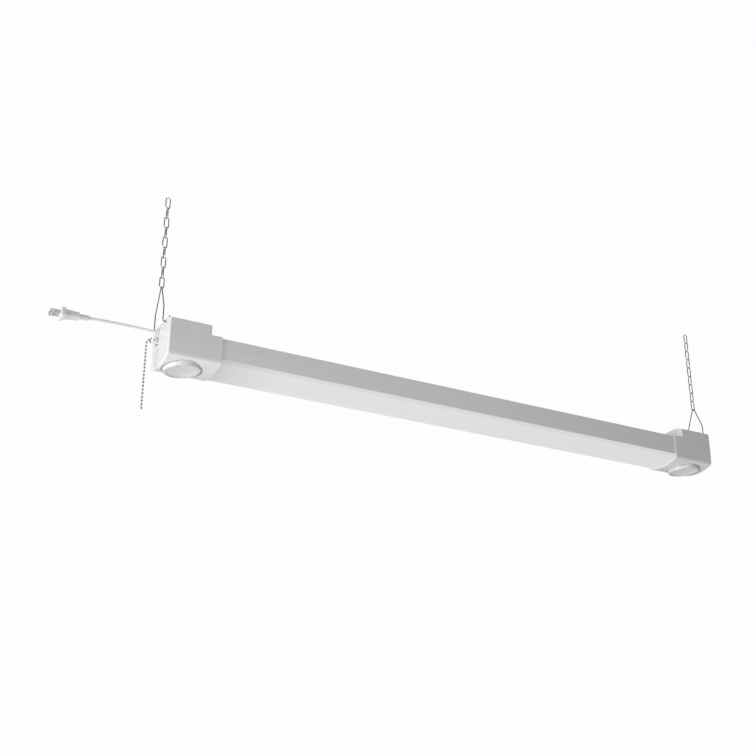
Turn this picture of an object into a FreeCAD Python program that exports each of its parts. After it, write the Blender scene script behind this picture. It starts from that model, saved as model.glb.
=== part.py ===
import FreeCAD, Part
import math
import os
import Sketcher

# A hanging shop light: a white channel with a frosted lens, an end cap at each end with a
# swivelling spot in its belly, two chains with V-shaped hooks, a pull switch and a short cord.
# Millimetres, +X along the lamp, -Y its front, +Z up. The origin is the ceiling, midway between
# the chains. Names with "_z" are heights above the lower edge of the caps' sides.

SIZES = [
    # the whole lamp and its end caps
    ("lamp_length", 1200.0),
    ("cap_box_length", 76.6),
    ("collar_length", 19.9),
    ("cap_width", 89.0),
    ("cap_wall", 1.6),
    ("cap_foot_width", 87.0),
    ("cap_break_z", 26.5),
    ("cap_shoulder_z", 67.0),
    ("cap_top_z", 73.0),
    ("cap_flat_width", 57.0),
    ("collar_z", 49.4),
    ("belly_depth", 8.5),
    ("cap_corner_round", 3.0),
    ("box_corner_round", 3.0),
    ("cap_edge_round", 4.0),
    ("cap_crown_round", 5.0),
    ("cap_foot_round", 6.0),
    ("collar_round", 2.0),
    ("panel_depth", 0.8),
    ("panel_width", 26.0),
    ("panel_centre", 14.0),
    ("panel_low_z", 6.0),
    # the channel, the lens and the light boards between the caps
    ("body_entry", 14.0),
    ("body_gap", 0.2),
    ("housing_width", 85.4),
    ("housing_sheet", 0.8),
    ("housing_round", 2.0),
    ("lip_width", 5.3),
    ("lens_line_z", 8.3),
    ("lens_wall", 1.8),
    ("lens_round", 5.0),
    ("tray_gap", 2.5),
    ("tray_sheet", 1.0),
    ("tray_flange", 5.0),
    ("strip_width", 18.0),
    ("strip_board", 1.6),
    ("strip_spacing", 34.0),
    ("strip_margin", 12.0),
    ("chip_long", 3.5),
    ("chip_wide", 2.8),
    ("chip_high", 0.7),
    ("chip_count", 24),
    # the driver
    ("driver_length", 190.0),
    ("driver_width", 56.0),
    ("driver_height", 26.0),
    ("driver_sheet", 0.8),
    ("driver_board_sheet", 1.6),
    ("driver_board_lift", 4.0),
    ("transformer_size", 22.0),
    ("capacitor_dia", 15.0),
    ("capacitor_length", 26.0),
    ("choke_dia", 14.0),
    ("choke_height", 12.0),
    ("wire_dia", 2.2),
    ("wire_spacing", 12.0),
    ("connector_gap", 4.4),
    ("connector_length", 18.0),
    ("connector_size", 7.0),
    # screws that hold the caps to the channel
    ("screw_dia", 3.0),
    ("screw_head_dia", 6.0),
    ("screw_head_height", 2.0),
    ("screw_length", 8.0),
    ("screw_spacing", 56.0),
    ("screw_gap", 0.1),
    # a swivelling spot
    ("spot_inset", 41.0),
    ("spot_pivot_z", 1.0),
    ("spot_tilt", 5.0),
    ("ball_radius", 33.6),
    ("rim_drop", 11.6),
    ("rim_width", 3.7),
    ("ring_gap", 0.4),
    ("ring_wall", 1.5),
    ("ring_drop", 3.4),
    ("flange_lift", 7.2),
    ("flange_sheet", 1.5),
    ("flange_width", 2.7),
    ("boss_wall", 2.2),
    ("boss_z", 10.1),
    ("spot_gap", 0.3),
    ("retainer_sheet", 1.5),
    ("shoulder_lift", 8.0),
    ("spot_ledge", 3.8),
    ("can_wall", 2.0),
    ("can_top", 13.6),
    ("spot_lens_sheet", 2.0),
    ("spot_lens_drop", 10.4),
    ("spot_lens_dish", 4.0),
    ("spot_lens_gap", 0.2),
    ("reflector_wall", 0.8),
    ("reflector_throat", 8.0),
    ("cob_radius", 7.0),
    ("cob_sheet", 0.8),
    ("cob_board", 1.6),
    ("sink_radius", 20.0),
    ("sink_base", 2.0),
    ("sink_height", 10.4),
    ("fin_sheet", 1.4),
    ("fin_count", 7),
    ("pin_dia", 3.0),
    ("pin_length", 5.6),
    ("pin_gap", 0.06),
    # chains and V-shaped hooks
    ("link_pitch", 20.0),
    ("link_wire", 2.0),
    ("link_width", 9.7),
    ("link_gap", 0.2),
    ("link_count", 9),
    ("hook_standoff", 5.5),
    ("hook_wire", 2.0),
    ("hook_height", 74.4),
    ("hook_spread", 44.0),
    ("hook_kink", 45.0),
    ("hook_crown_radius", 3.5),
    ("hook_kink_radius", 8.0),
    ("hook_tip_rise", 13.0),
    ("hang_pin_dia", 3.0),
    ("hang_pin_gap", 0.5),
    ("hang_pin_inset", 2.6),
    ("hang_pin_z", 69.0),
    ("hang_pin_length", 10.0),
    ("notch_width", 5.0),
    ("notch_depth", 9.0),
    ("rib_thickness", 6.0),
    # the pull switch and its bead chain
    ("switch_y", 14.0),
    ("switch_z", 42.4),
    ("switch_length", 20.0),
    ("switch_width", 16.0),
    ("switch_height", 20.0),
    ("switch_drop", 15.0),
    ("switch_wall", 1.5),
    ("nipple_radius", 4.8),
    ("nipple_bore", 2.6),
    ("nipple_reach", 6.0),
    ("nut_radius", 8.0),
    ("nut_height", 2.7),
    ("bell_length", 7.0),
    ("bell_radius", 5.4),
    ("bell_wall", 0.9),
    ("drum_radius", 6.5),
    ("drum_width", 8.0),
    ("drum_shaft_dia", 3.0),
    ("bead_dia", 3.8),
    ("bead_pitch", 6.7),
    ("bead_wire", 0.6),
    ("bead_count", 16),
    ("bead_gap", 0.3),
    ("bead_end_dia", 4.4),
    ("bead_end_length", 4.8),
    ("bead_x_out", 20.0),
    ("lead_x_out", 16.2),
    ("lead_drop", 5.5),
    # the cord and its plug
    ("cord_dia", 5.0),
    ("cord_y", 11.5),
    ("cord_z", 59.2),
    ("bushing_radius", 4.6),
    ("bushing_neck", 3.6),
    ("bushing_bore", 2.85),
    ("bushing_reach", 7.0),
    ("bushing_gap", 0.1),
    ("relief_length", 18.0),
    ("relief_radius", 5.0),
    ("relief_ribs", 5),
    ("relief_groove", 1.3),
    ("plug_length", 24.5),
    ("plug_flange", 6.0),
    ("plug_width", 25.0),
    ("plug_height", 19.0),
    ("plug_neck_width", 15.0),
    ("plug_neck_height", 12.5),
    ("plug_round", 5.0),
    ("blade_length", 18.0),
    ("blade_sheet", 1.5),
    ("blade_spacing", 12.7),
    ("wide_blade_height", 7.9),
    ("narrow_blade_height", 6.35),
    ("blade_hole_dia", 3.2),
    ("blade_hole_inset", 4.2),
]

# The cord's route in the lamp's own heights: chosen by eye from the photograph.
CORD_ROUTE = [
    (-594.0, 11.5, 59.2),
    (-640.0, 11.5, 59.4),
    (-688.0, 11.5, 59.4),
    (-722.5, 11.5, 57.9),
]

doc = FreeCAD.newDocument("hanging_shop_light")
sheet = doc.addObject("Spreadsheet::Sheet", "Sizes")
for row, (alias, size) in enumerate(SIZES, start=1):
    sheet.set("A%d" % row, alias.replace("_", " "))
    sheet.set("B%d" % row, "%g" % size)
    sheet.setAlias("B%d" % row, alias)
doc.recompute()

nodes = []


def sized(text):
    """Write the sheet's name before every alias in an expression."""
    words = []
    word = ""
    for letter in text + " ":
        if letter.isalnum() or letter == "_":
            word += letter
            continue
        words.append("Sizes." + word if word in ALIASES else word)
        words.append(letter)
        word = ""
    return "".join(words).strip()


ALIASES = {alias for alias, size in SIZES}


def value(text):
    """The number that an expression of the sheet's aliases gives."""
    result = sheet.evalExpression(sized(text))
    return float(getattr(result, "Value", result))


def bind(thing, **expressions):
    """Tie an object's properties to the sheet. Underscores in a name stand for dots."""
    for name, text in expressions.items():
        thing.setExpression(name.replace("__", "."), sized(str(text)))


def put(thing, place, axis=None, angle="0"):
    """Move an object to a place given as three expressions, turned about one axis."""
    if axis:
        turn = FreeCAD.Rotation(FreeCAD.Vector(*axis), value(angle))
        thing.Placement = FreeCAD.Placement(FreeCAD.Vector(), turn)
    bind(thing, Placement__Base__x=place[0], Placement__Base__y=place[1], Placement__Base__z=place[2])
    return thing


def keep(label, thing):
    """Name an object as a finished piece of the lamp."""
    thing.Label = label
    nodes.append(thing)
    return thing


# Places that many pieces share, as expressions of the sheet.
LINK_HALF = "((link_pitch + link_gap) / 2 + link_wire)"
LINK_BOW = "((link_width - link_wire) / 2)"
CHAIN_X = "(lamp_length / 2 + hook_standoff)"
CROWN_DROP = "(%s + (link_count - 1) * link_pitch + (link_pitch + link_gap) / 2 - link_gap" % LINK_HALF
CROWN_DROP += " - hook_wire / 2)"
HOOK_BEND = "(hang_pin_dia / 2 + hang_pin_gap + hook_wire / 2)"
LAMP_DROP = "(%s + hook_height - %s + hang_pin_z)" % (CROWN_DROP, HOOK_BEND)
SPOT_X = "(lamp_length / 2 - spot_inset)"
CAP_LENGTH = "(cap_box_length + collar_length)"
BODY_LENGTH = "(lamp_length - 2 * (%s - body_entry))" % CAP_LENGTH
FOOT_LEAN = "((cap_width - cap_foot_width) / 2)"
LINE_LEAN = "(%s * (cap_break_z - lens_line_z) / (cap_break_z - cap_wall))" % FOOT_LEAN
SPOT_MOUTH = "(sqrt(ball_radius * ball_radius - rim_drop * rim_drop) - rim_width)"
CAN_INNER = "(%s - spot_ledge)" % SPOT_MOUTH
LENS_RADIUS = "(%s - 2 * spot_lens_gap)" % SPOT_MOUTH
LENS_RISE = "(spot_lens_dish * (1 - {0} * {0} / ({1} * {1})))".format(CAN_INNER, LENS_RADIUS)
SPOT_SEAT = "(spot_lens_sheet - spot_lens_drop + %s + spot_lens_gap / 4)" % LENS_RISE
LEFT = "(-lamp_length / 2)"
RIGHT = "(lamp_length / 2)"
UNDER = "-" + LAMP_DROP


def box(corner, extent):
    """A block from its low corner and its three extents."""
    block = doc.addObject("Part::Box", "Block")
    bind(block, Length=extent[0], Width=extent[1], Height=extent[2])
    return put(block, corner)


def rod(start, axis, radius, length):
    """A round bar from the centre of its start face along +X, +Y or +Z."""
    bar = doc.addObject("Part::Cylinder", "Rod")
    bind(bar, Radius=radius, Height=length)
    turns = {"X": ((0, 1, 0), "90"), "Y": ((1, 0, 0), "-90"), "Z": (None, "0")}
    return put(bar, start, *turns[axis])


def ball(centre, radius):
    """A sphere about its centre."""
    sphere = doc.addObject("Part::Sphere", "Ball")
    bind(sphere, Radius=radius)
    return put(sphere, centre)


def cut(base, *tools):
    """The base with the tools taken out of it, one after the other."""
    for tool in tools:
        result = doc.addObject("Part::Cut", "Cut")
        result.Base = base
        result.Tool = tool
        base = result
    return base


def fuse(*things):
    """All the things as one solid."""
    result = doc.addObject("Part::MultiFuse", "Fuse")
    result.Shapes = list(things)
    return result


def meet(*things):
    """What all the things share, as one solid."""
    result = doc.addObject("Part::MultiCommon", "Meet")
    result.Shapes = list(things)
    return result


def group(things):
    """Separate solids that share one node."""
    result = doc.addObject("Part::Compound", "Group")
    result.Links = list(things)
    return result


def pin_point(sketch, geometry, position, point):
    """Hold a sketch point at its distances from the sketch's origin."""
    for kind, text in (("DistanceX", point[0]), ("DistanceY", point[1])):
        constraint = Sketcher.Constraint(kind, -1, 1, geometry, position, value(text))
        index = sketch.addConstraint(constraint)
        sketch.setExpression("Constraints[%d]" % index, sized(text))


def draw(sketch, outline):
    """Draw a closed outline: a third item in a point makes it the middle of an arc."""
    ends = [index for index, point in enumerate(outline) if len(point) == 2]
    spots = [FreeCAD.Vector(value(point[0]), value(point[1]), 0) for point in outline]
    pieces = []
    for order, index in enumerate(ends):
        follower = ends[(order + 1) % len(ends)]
        middle = (index + 1) % len(outline)
        if middle == follower:
            line = sketch.addGeometry(Part.LineSegment(spots[index], spots[follower]), False)
            pieces.append((line, 1, 2))
            continue
        through = [spots[index], spots[middle], spots[follower]]
        clockwise = (through[1] - through[0]).cross(through[2] - through[1]).z < 0
        if clockwise:
            through.reverse()
        arc = sketch.addGeometry(Part.Arc(*through), False)
        mark = sketch.addGeometry(Part.Point(through[1]), True)
        sketch.addConstraint(Sketcher.Constraint("PointOnObject", mark, 1, arc))
        pin_point(sketch, mark, 1, outline[middle])
        pieces.append((arc, 2, 1) if clockwise else (arc, 1, 2))
    for order, index in enumerate(ends):
        piece, start, _ = pieces[order]
        before, _, finish = pieces[order - 1]
        sketch.addConstraint(Sketcher.Constraint("Coincident", before, finish, piece, start))
        pin_point(sketch, piece, start, outline[index])


def sketch_on(body, plane, offset, outline):
    """A sketch of an outline on one of a body's own planes, moved along its normal."""
    sketch = body.newObject("Sketcher::SketchObject", "Sketch")
    planes = {feature.Role: feature for feature in body.Origin.OriginFeatures}
    sketch.AttachmentSupport = (planes[plane + "_Plane"], "")
    sketch.MapMode = "FlatFace"
    bind(sketch, AttachmentOffset__Base__z=offset)
    draw(sketch, outline)
    return sketch


def pad(plane, offset, outline, length, body=None):
    """Push an outline along its plane's normal, in a new body or on one that is there."""
    body = body or doc.addObject("PartDesign::Body", "Body")
    feature = body.newObject("PartDesign::Pad", "Pad")
    feature.Profile = sketch_on(body, plane, offset, outline)
    bind(feature, Length=length)
    body.Tip = feature
    return body


def turn(outline, axis="Z"):
    """Turn an outline of radii and heights about +Z, or about +X with its heights along X."""
    body = doc.addObject("PartDesign::Body", "Body")
    feature = body.newObject("PartDesign::Revolution", "Turn")
    sketch = sketch_on(body, "XZ", "0", outline)
    feature.Profile = sketch
    feature.ReferenceAxis = (sketch, ["V_Axis" if axis == "Z" else "H_Axis"])
    feature.Angle = 360
    body.Tip = feature
    return body


def round_edges(body, radius, wanted):
    """Round the edges of a body's last feature that the test picks."""
    doc.recompute()
    base = body.Tip
    names = [
        "Edge%d" % number
        for number, edge in enumerate(base.Shape.Edges, start=1)
        if wanted(edge.BoundBox)
    ]
    feature = body.newObject("PartDesign::Fillet", "Rounding")
    feature.Base = (base, names)
    bind(feature, Radius=radius)
    body.Tip = feature
    return body


def near(number, text):
    """True where a number is what an expression gives."""
    return abs(number - value(text)) < 0.01


def rounded(width, height, radius):
    """A rectangle about the sketch's origin with round corners."""
    x, y, r = "(%s) / 2" % width, "(%s) / 2" % height, "(%s)" % radius
    bend = "%s * %.6f" % (r, 1 - math.sqrt(0.5))
    points = []
    for across, up in ((1, -1), (1, 1), (-1, 1), (-1, -1)):
        side = ("%d * (%s)" % (across, x), "%d * (%s - %s)" % (up, y, r))
        corner = ("%d * (%s - %s)" % (across, x, bend), "%d * (%s - %s)" % (up, y, bend), "arc")
        level = ("%d * (%s - %s)" % (across, x, r), "%d * (%s)" % (up, y))
        points += [side, corner, level] if across * up > 0 else [level, corner, side]
    return points


def smooth_path(corners, radii):
    """Straight runs joined by tangent arcs, one radius for each inner corner."""
    edges = []
    start = corners[0]
    for before, corner, after, radius in zip(corners, corners[1:], corners[2:], radii):
        back = (before - corner).normalize()
        ahead = (after - corner).normalize()
        half = back.getAngle(ahead) / 2
        reach = radius / math.tan(half)
        middle = corner + (back + ahead).normalize() * (radius / math.sin(half) - radius)
        bend = Part.Arc(corner + back * reach, middle, corner + ahead * reach)
        edges.append(Part.makeLine(start, corner + back * reach))
        edges.append(bend.toShape())
        start = corner + ahead * reach
    edges.append(Part.makeLine(start, corners[-1]))
    return Part.Wire(edges)


def tube(corners, radii, radius):
    """A solid round tube along a smooth path."""
    path = smooth_path(corners, radii)
    along = corners[1] - corners[0]
    section = Part.Wire([Part.makeCircle(radius, corners[0], along)])
    return path.makePipeShell([section], True, False), path.Length


# ---------------------------------------------------------------- chains and hooks


def chain_link(x, number):
    """One oval link: odd links lie along the lamp, even links across it."""
    tori = []
    straight = "(%s - link_wire / 2 - %s)" % (LINK_HALF, LINK_BOW)
    centre = "(-%s - (%d - 1) * link_pitch)" % (LINK_HALF, number)
    odd = number % 2
    for side in (1, -1):
        bow = doc.addObject("Part::Torus", "Bow")
        bind(bow, Radius1=LINK_BOW, Radius2="link_wire / 2")
        bow.Angle3 = 180
        lie = FreeCAD.Rotation(FreeCAD.Vector(1, 0, 0), 90 * side)
        spin = FreeCAD.Rotation(FreeCAD.Vector(0, 0, 1), 0 if odd else 90)
        bow.Placement = FreeCAD.Placement(FreeCAD.Vector(), spin.multiply(lie))
        bind(bow, Placement__Base__x=x, Placement__Base__z="%s + %d * %s" % (centre, side, straight))
        tori.append(bow)
        shift = "%d * %s" % (side, LINK_BOW)
        foot = (x + (" + " + shift if odd else ""), "0" if odd else shift, "%s - %s" % (centre, straight))
        tori.append(rod(foot, "Z", "link_wire / 2", "2 * " + straight))
    return fuse(*tori)


def v_hook(side):
    """A V of wire whose crown hangs in the last link and whose feet curl into the cap."""
    x = side * value(CHAIN_X)
    crown = -value(CROWN_DROP)
    half, kink, crown_radius = value("hook_spread / 2"), value("hook_kink"), value("hook_crown_radius")
    apart = math.hypot(half, kink - crown_radius)
    lean = math.atan2(half, kink - crown_radius) - math.asin(crown_radius / apart)
    peak = crown + half / math.tan(lean) - kink
    bend = value(HOOK_BEND)
    foot = crown - value("hook_height")
    inner = side * value("lamp_length / 2 - hang_pin_inset - " + HOOK_BEND)
    leg = [
        FreeCAD.Vector(inner, half, foot + value("hook_tip_rise")),
        FreeCAD.Vector(inner, half, foot),
        FreeCAD.Vector(x, half, foot),
        FreeCAD.Vector(x, half, crown - kink),
    ]
    other = [FreeCAD.Vector(point.x, -point.y, point.z) for point in reversed(leg)]
    corners = leg + [FreeCAD.Vector(x, 0, peak)] + other
    kink_radius = value("hook_kink_radius")
    radii = [bend, bend, kink_radius, crown_radius, kink_radius, bend, bend]
    hook = doc.addObject("Part::Feature", "Hook")
    hook.Shape, _ = tube(corners, radii, value("hook_wire / 2"))
    return hook


def chains():
    """Both chains: the ceiling link, the next link, the rest as one group, and the hook."""
    for name, side in (("left", -1), ("right", 1)):
        x = "%d * %s" % (side, CHAIN_X)
        keep(name + "_ceiling_link", chain_link(x, 1))
        keep(name + "_second_link", chain_link(x, 2))
        rest = [chain_link(x, number) for number in range(3, int(value("link_count")) + 1)]
        keep(name + "_chain", group(rest))
        keep(name + "_v_hook", v_hook(side))


# ---------------------------------------------------------------- end caps


def cap_outline(inset, top, crown):
    """The cap's section, drawn in by an inset, with a flat top or a bevelled crown."""
    half = "(cap_width / 2 - %s)" % inset
    foot = "(cap_foot_width / 2 - %s)" % inset
    points = [
        ("-" + half, "cap_break_z"),
        ("-" + foot, inset),
        ("0", "-belly_depth + " + inset, "arc"),
        (foot, inset),
        (half, "cap_break_z"),
        (half, "%s - %s" % (top, inset)),
    ]
    if crown:
        flat = "(cap_flat_width / 2)"
        points += [(flat, "cap_top_z - " + inset), ("-" + flat, "cap_top_z - " + inset)]
    points.append(("-" + half, "%s - %s" % (top, inset)))
    return points


def cap_outside():
    """The cap's outer form, with its open end at +X and its outer end at the origin."""
    body = pad("YZ", "0", cap_outline("0", "cap_shoulder_z", True), "cap_box_length")
    low = cap_outline("0", "collar_z", False)
    pad("YZ", "cap_box_length / 2", low, "collar_length + cap_box_length / 2", body)
    lengthwise = {
        "cap_foot_round": ("cap_foot_width / 2", "0"),
        "cap_edge_round": ("cap_width / 2", "cap_shoulder_z"),
        "cap_crown_round": ("cap_flat_width / 2", "cap_top_z"),
    }
    for radius, (y, z) in lengthwise.items():
        round_edges(body, radius, lambda b: b.XLength > 1 and b.YLength < 0.01 and b.ZLength < 0.01
                    and near(abs(b.YMax), y) and near(b.ZMax, z))
    round_edges(body, "cap_corner_round", lambda b: b.XMax < 0.01)
    round_edges(body, "box_corner_round", lambda b: near(b.XMin, "cap_box_length") and b.XLength < 0.01
                and b.ZMax > value("collar_z") + 1)
    round_edges(body, "collar_round", lambda b: b.XLength > 1 and near(abs(b.YMax), "cap_width / 2")
                and b.YLength < 0.01 and near(b.ZMax, "collar_z") and near(b.ZMin, "collar_z"))
    return body


def cap_inside():
    """The hollow of the cap, with the spot's boss left standing."""
    low = pad("YZ", "cap_wall", cap_outline("cap_wall", "collar_z", False), CAP_LENGTH)
    high = pad("YZ", "cap_wall", cap_outline("cap_wall", "cap_shoulder_z", True),
               "cap_box_length - 2 * cap_wall")
    for body in (low, high):
        round_edges(body, "cap_foot_round - cap_wall", lambda b: b.XLength > 1 and b.YLength < 0.01
                    and near(abs(b.YMax), "cap_foot_width / 2 - cap_wall") and near(b.ZMax, "cap_wall"))
    ring = "(ball_radius + ring_gap + ring_wall + flange_width + spot_gap + boss_wall)"
    boss = rod(("spot_inset", "0", "-cap_wall - belly_depth"), "Z", ring, "cap_wall + belly_depth + boss_z")
    rib_high = "(cap_top_z - hang_pin_z)"
    ribs = [
        box(("0", "%s - notch_width / 2 - hang_pin_length / 4" % y, "hang_pin_z - " + rib_high),
            ("rib_thickness", "notch_width + hang_pin_length / 2", "2 * " + rib_high))
        for y in ("(hook_spread / 2)", "(-hook_spread / 2)")
    ]
    return cut(fuse(low, high), boss, *ribs)


def hook_cuts():
    """The notches that the hooks pass through, and the holes for the hang pins."""
    tools = []
    floor = "(hang_pin_z - %s - hook_wire / 2 - 1.2)" % HOOK_BEND
    for side in (1, -1):
        y = "(%d * hook_spread / 2)" % side
        tools.append(box(("-1", "%s - notch_width / 2" % y, floor),
                         ("notch_depth + 1", "notch_width", "cap_top_z")))
        start = ("hang_pin_inset", "%s - hang_pin_length / 2" % y, "hang_pin_z")
        tools.append(rod(start, "Y", "hang_pin_dia / 2", "hang_pin_length"))
    return tools


def cap_blank():
    """A cap with everything that both ends have."""
    bore = "(ball_radius + ring_gap + ring_wall + spot_gap)"
    lift = "(spot_pivot_z + flange_lift - spot_gap * 2 / 3)"
    hole = rod(("spot_inset", "0", "-2 * belly_depth"), "Z", bore, "2 * belly_depth + boss_z")
    seat = rod(("spot_inset", "0", lift), "Z", bore + " + flange_width", "boss_z")
    screws = [
        rod((CAP_LENGTH + " - body_entry / 2", "%d * screw_spacing / 2" % side,
             "collar_z - cap_wall * 2"), "Z", "screw_dia / 2 + screw_gap", "cap_wall * 3")
        for side in (1, -1)
    ]
    return cut(cut(cap_outside(), cap_inside()), hole, seat, *hook_cuts(), *screws)


def left_cap_cuts():
    """The shallow panel in the left cap's end, and its holes for the cord and the switch."""
    panel = box(("-1", "panel_centre - panel_width / 2", "panel_low_z"),
                ("1 + panel_depth", "panel_width", "cap_top_z"))
    cord = rod(("-1", "cord_y", "cord_z"), "X", "bushing_neck + bushing_gap", "cap_wall + 2")
    nipple = rod(("-1", "switch_y", "switch_z"), "X", "nipple_radius + screw_gap", "cap_wall + 2")
    return [panel, cord, nipple]


def caps():
    """Both caps, their hang pins and the screws that hold them."""
    left = put(cut(cap_blank(), *left_cap_cuts()), (LEFT, "0", UNDER))
    keep("left_end_cap", left)
    right = put(cap_blank(), (RIGHT, "0", UNDER), (0, 0, 1), "180")
    keep("right_end_cap", right)
    for name, side in (("left", -1), ("right", 1)):
        x = "%d * (lamp_length / 2 - hang_pin_inset)" % side
        pins = [
            rod((x, "%d * hook_spread / 2 - hang_pin_length / 2" % way, "%s + hang_pin_z" % UNDER),
                "Y", "hang_pin_dia / 2", "hang_pin_length")
            for way in (1, -1)
        ]
        keep(name + "_hang_pins", group(pins))


def cap_screws():
    """Four pan-head screws, two through the top of each collar into the channel."""
    screws = []
    for side in (1, -1):
        x = "%d * (lamp_length / 2 - %s + body_entry / 2)" % (side, CAP_LENGTH)
        for way in (1, -1):
            y = "%d * screw_spacing / 2" % way
            top = "%s + collar_z" % UNDER
            head = rod((x, y, top), "Z", "screw_head_dia / 2", "screw_head_height")
            shank = rod((x, y, top + " - screw_length"), "Z", "screw_dia / 2",
                        "screw_length + screw_head_height / 2")
            screws.append(fuse(head, shank))
    keep("cap_screws", group(screws))


# ---------------------------------------------------------------- channel, lens and light boards


def housing():
    """The folded sheet channel, open downwards, with a lip along each lower edge."""
    out = "(housing_width / 2)"
    edge = "(housing_width / 2 - %s)" % LINE_LEAN
    inner = "(housing_width / 2 - housing_sheet)"
    lip = "(housing_width / 2 - lip_width)"
    top = "(collar_z - cap_wall - body_gap)"
    low = "lens_line_z"
    lip_top = low + " + housing_sheet"
    right = [(edge, low), (out, "cap_break_z"), (out, top)]
    left = [("-" + out, top), ("-" + out, "cap_break_z"), ("-" + edge, low)]
    back = [("-" + lip, low), ("-" + lip, lip_top), ("housing_sheet - " + edge, lip_top),
            ("-" + inner, "cap_break_z"), ("-" + inner, top + " - housing_sheet")]
    front = [(inner, top + " - housing_sheet"), (inner, "cap_break_z"),
             (edge + " - housing_sheet", lip_top), (lip, lip_top), (lip, low)]
    body = pad("YZ", "-%s / 2" % BODY_LENGTH, right + left + back + front, BODY_LENGTH)
    round_edges(body, "housing_round", lambda b: b.XLength > 1 and near(b.ZMin, top) and near(b.YLength, "0"))
    holes = [
        rod(("%d * (%s / 2 - body_entry / 2)" % (side, BODY_LENGTH), "%d * screw_spacing / 2" % way,
             top + " - 3"), "Z", "screw_dia / 2", "6")
        for side in (1, -1) for way in (1, -1)
    ]
    keep("housing_channel", put(cut(body, *holes), ("0", "0", UNDER)))


def lens_outline(inset):
    """The lens's section: sides that lean as the caps' do and a belly that follows theirs."""
    half = "(housing_width / 2 - %s - body_gap - %s)" % (LINE_LEAN, inset)
    foot = "(housing_width / 2 - %s - body_gap - %s)" % (FOOT_LEAN, inset)
    low = "(%s + body_gap + cap_wall)" % inset
    return [
        ("-" + half, "lens_line_z"),
        ("-" + foot, low),
        ("0", "-belly_depth + cap_wall + body_gap + " + inset, "arc"),
        (foot, low),
        (half, "lens_line_z"),
    ]


def lens():
    """The frosted lens: a shallow trough under the channel."""
    start = "-%s / 2" % BODY_LENGTH
    outer = pad("YZ", start, lens_outline("0"), BODY_LENGTH)
    inner = pad("YZ", start + " - 1", lens_outline("lens_wall"), BODY_LENGTH + " + 2")
    for body, radius in ((outer, "lens_round"), (inner, "lens_round - lens_wall")):
        round_edges(body, radius, lambda b: b.XLength > 100 and b.ZMax < value("lens_line_z") - 2
                    and b.YLength < 0.01)
    keep("lens_diffuser", put(cut(outer, inner), ("0", "0", UNDER)))


def light_boards():
    """The tray that rests on the channel's lips, with two strips of small lights below it."""
    floor = "(lens_line_z + housing_sheet)"
    half = "(housing_width / 2 - housing_sheet - tray_gap)"
    wall = "(%s - tray_sheet)" % half
    length = "(%s - 2 * strip_margin)" % BODY_LENGTH
    outline = [("-" + half, floor), (half, floor), (half, floor + " + tray_flange"),
               (wall, floor + " + tray_flange"), (wall, floor + " + tray_sheet"),
               ("-" + wall, floor + " + tray_sheet"), ("-" + wall, floor + " + tray_flange"),
               ("-" + half, floor + " + tray_flange")]
    tray = pad("YZ", "-%s / 2" % length, outline, length)
    keep("light_tray", put(tray, ("0", "0", UNDER)))
    chips = []
    count = int(value("chip_count"))
    for name, side in (("front", -1), ("rear", 1)):
        y = "%d * strip_spacing / 2" % side
        low = "%s + %s - strip_board" % (UNDER, floor)
        strip = box(("-%s / 2" % length, y + " - strip_width / 2", low),
                    (length, "strip_width", "strip_board"))
        keep(name + "_light_strip", strip)
        for number in range(count):
            x = "(%d - (chip_count - 1) / 2) * %s / chip_count - chip_long / 2" % (number, length)
            chips.append(box((x, y + " - chip_wide / 2", low + " - chip_high"),
                             ("chip_long", "chip_wide", "chip_high")))
    keep("light_chips", group(chips))


def driver():
    """The power supply on the tray: its case, lid, board and main parts."""
    base = "(%s + lens_line_z + housing_sheet + tray_sheet)" % UNDER
    x = "(-driver_length / 2)"
    y = "(-driver_width / 2)"
    case = box((x, y, base), ("driver_length", "driver_width", "driver_height / 2"))
    room = box((x + " + driver_sheet", y + " + driver_sheet", base + " + driver_sheet"),
               ("driver_length - 2 * driver_sheet", "driver_width - 2 * driver_sheet", "driver_height"))
    keep("driver_case", cut(case, room))
    lid_x, lid_y = x + " - driver_sheet", y + " - driver_sheet"
    lid = box((lid_x, lid_y, base + " + driver_height / 4"),
              ("driver_length + 2 * driver_sheet", "driver_width + 2 * driver_sheet",
               "driver_height * 3 / 4"))
    hollow = box((x, y, base), ("driver_length", "driver_width", "driver_height - driver_sheet"))
    keep("driver_lid", cut(lid, hollow))
    low = base + " + driver_sheet + driver_board_lift"
    board = box((x + " + 4", y + " + 3", low),
                ("driver_length - 8", "driver_width - 6", "driver_board_sheet"))
    keep("driver_board", board)
    top = low + " + driver_board_sheet"
    block = box(("-transformer_size / 2", "-transformer_size / 2", top),
                ("transformer_size", "transformer_size", "transformer_size * 0.75"))
    keep("driver_transformer", block)
    cans = [
        rod(("driver_length / 4", "%d * capacitor_dia * 0.7" % way, top + " + capacitor_dia / 2"), "X",
            "capacitor_dia / 2", "capacitor_length")
        for way in (1, -1)
    ]
    keep("driver_capacitors", group(cans))
    keep("driver_choke", rod(("-driver_length / 4", "0", top), "Z", "choke_dia / 2", "choke_height"))


def wires():
    """Pairs of wires under the channel's top, from the driver to both caps."""
    height = "%s + collar_z - cap_wall - body_gap - housing_sheet - wire_dia" % UNDER
    far = "(lamp_length / 2 - cap_box_length + cap_wall + connector_gap)"
    pairs = []
    plugs = []
    for side in (1, -1):
        reach = "(%s - driver_length / 2)" % far
        start = "driver_length / 2" if side > 0 else "-" + far
        for way in (1, -1):
            y = "%d * wire_spacing / 2" % way
            pairs.append(rod((start, y, height), "X", "wire_dia / 2", reach))
        end = far if side > 0 else start + " - connector_length"
        plugs.append(box((end, "-wire_spacing / 2 - connector_size / 2", height + " - connector_size / 2"),
                         ("connector_length", "wire_spacing + connector_size", "connector_size")))
    keep("lamp_wires", group(pairs))
    keep("wire_connectors", group(plugs))


# ---------------------------------------------------------------- spots


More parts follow.
